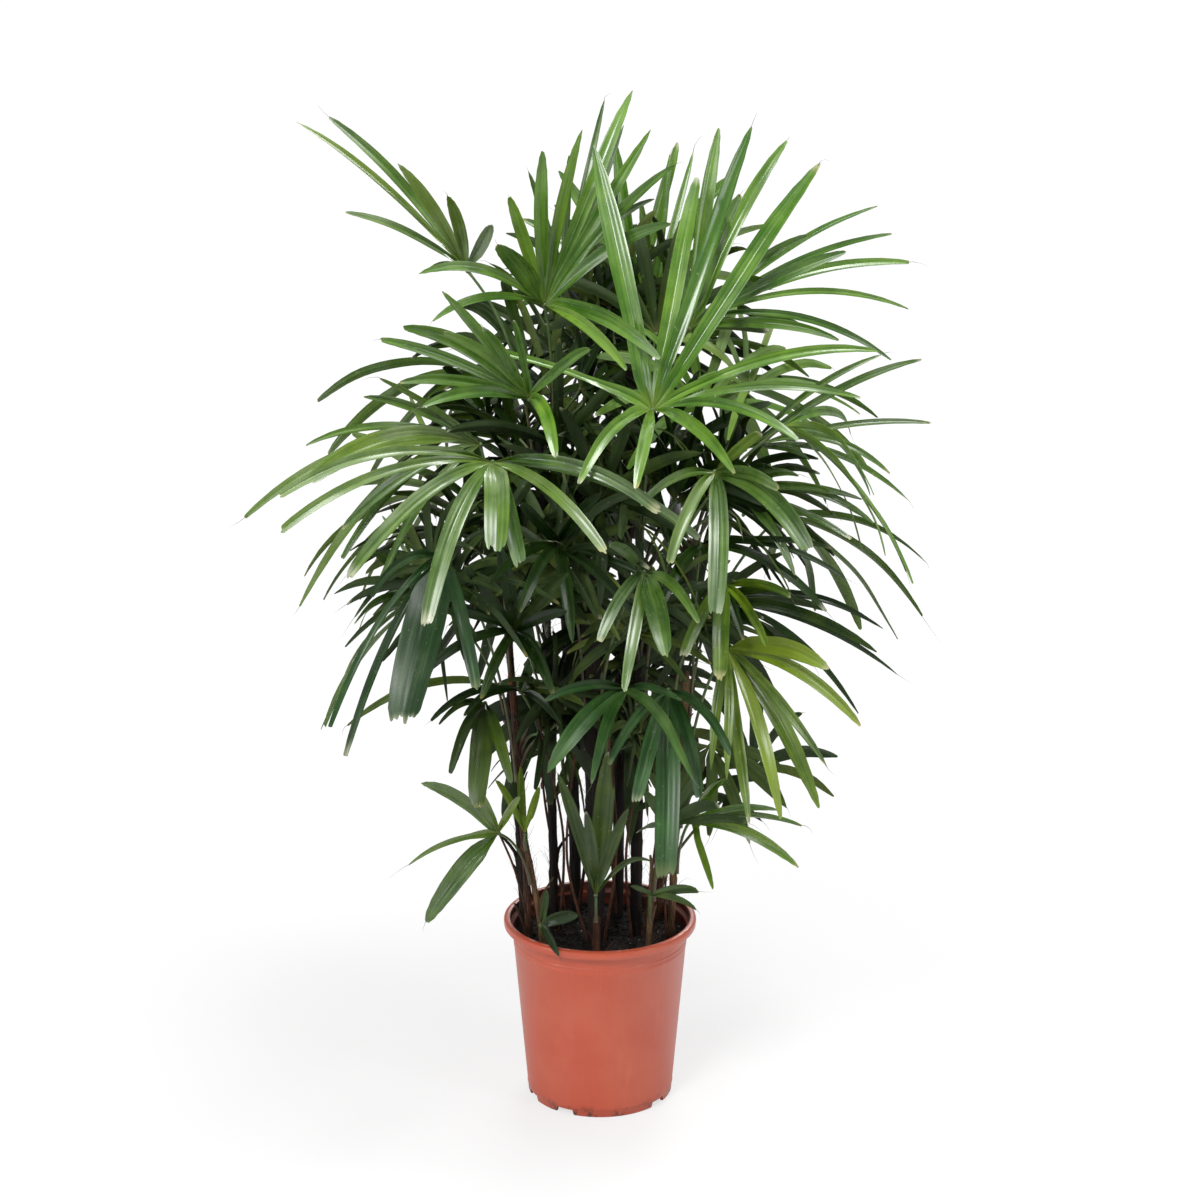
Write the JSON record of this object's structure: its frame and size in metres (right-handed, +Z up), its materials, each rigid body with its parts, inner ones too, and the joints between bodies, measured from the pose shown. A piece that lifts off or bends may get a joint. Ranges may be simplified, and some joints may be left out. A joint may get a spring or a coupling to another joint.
{
  "type": "potted lady palm",
  "caption": "Potted lady palm: slender fibre-clad canes rise from soil in a tapered nursery pot and carry fan leaves of long, narrow blades.",
  "frame": {"origin": "centre of the plant's footprint on the surface that the pot stands on, which is the pot's own axis to within 8 mm", "axes": "+Z up along the pot's axis, -Y towards the plant's front, +X to the front view's right"},
  "size_m": [0.816, 0.7054, 1.2512],
  "materials": {
    "pot_plastic": "satin terracotta-coloured moulded plastic",
    "potting_soil": "rough dark peat with bark, its density near that of wood",
    "cane_dark": "nearly black woven leaf-sheath fibre",
    "cane_brown": "reddish-brown woven leaf-sheath fibre",
    "cane_tan": "tan bare cane with fibre remains",
    "leaf_bright": "fresh green, glossy wax",
    "leaf_green": "mid green, satin wax",
    "leaf_deep": "dark green, satin wax",
    "leaf_blue": "blue-green, satin wax",
    "leaf_yellow": "yellow-green, satin wax"
  },
  "bodies": {
    "root": {"pot": "pot_plastic", "soil": "potting_soil", "cane_dark_left": "cane_dark", "cane_red": "cane_brown", "cane_tan_left": "cane_tan", "cane_black": "cane_dark", "cane_thick": "cane_dark", "cane_middle_right": "cane_dark", "cane_tan_front": "cane_tan", "cane_tan_right": "cane_tan", "cane_rear_right": "cane_dark", "cane_rear_left": "cane_dark", "cane_rear_far_right": "cane_brown", "cane_sucker": "cane_brown", "leaf_bright_front": "leaf_bright", "leaf_left_front": "leaf_green", "leaf_right_front": "leaf_green", "leaf_left_broad": "leaf_blue", "leaf_crown_left": "leaf_green", "leaf_crown_far_left": "leaf_green", "leaf_crown_right": "leaf_bright", "leaf_right_yellow": "leaf_yellow", "leaf_left_upper": "leaf_green", "leaf_left_long": "leaf_deep", "leaf_blue_hanging": "leaf_blue", "leaf_left_lower": "leaf_deep", "leaf_low_left": "leaf_green", "leaf_sucker": "leaf_blue", "leaf_right_top": "leaf_bright", "leaf_right_upper": "leaf_bright", "leaf_right_middle": "leaf_green", "leaf_right_lower": "leaf_deep", "leaf_right_low_rear": "leaf_deep", "leaf_right_hanging": "leaf_yellow", "leaf_middle_front": "leaf_deep", "leaf_middle_low": "leaf_blue", "leaf_left_hanging": "leaf_deep", "leaf_left_low_rear": "leaf_deep", "leaf_middle": "leaf_deep", "leaf_spear": "leaf_green", "leaf_soil": "leaf_bright", "leaf_low_right": "leaf_bright", "leaf_low_right_inner": "leaf_blue", "leaf_rim_right": "leaf_blue", "leaf_crown_left_rear": "leaf_green", "leaf_crown_rear": "leaf_bright", "leaf_inner_front": "leaf_deep", "leaf_inner_right": "leaf_deep", "leaf_inner_left": "leaf_deep", "leaf_back_top": "leaf_bright", "leaf_back_upper_left": "leaf_green", "leaf_back_upper_right": "leaf_green", "leaf_back_middle": "leaf_deep", "leaf_back_left": "leaf_green", "leaf_back_right": "leaf_yellow", "leaf_back_low_left": "leaf_deep", "leaf_back_low_right": "leaf_deep", "leaf_back_low": "leaf_blue", "leaf_side_left": "leaf_green", "leaf_side_right": "leaf_bright"}
  },
  "joints": []
}
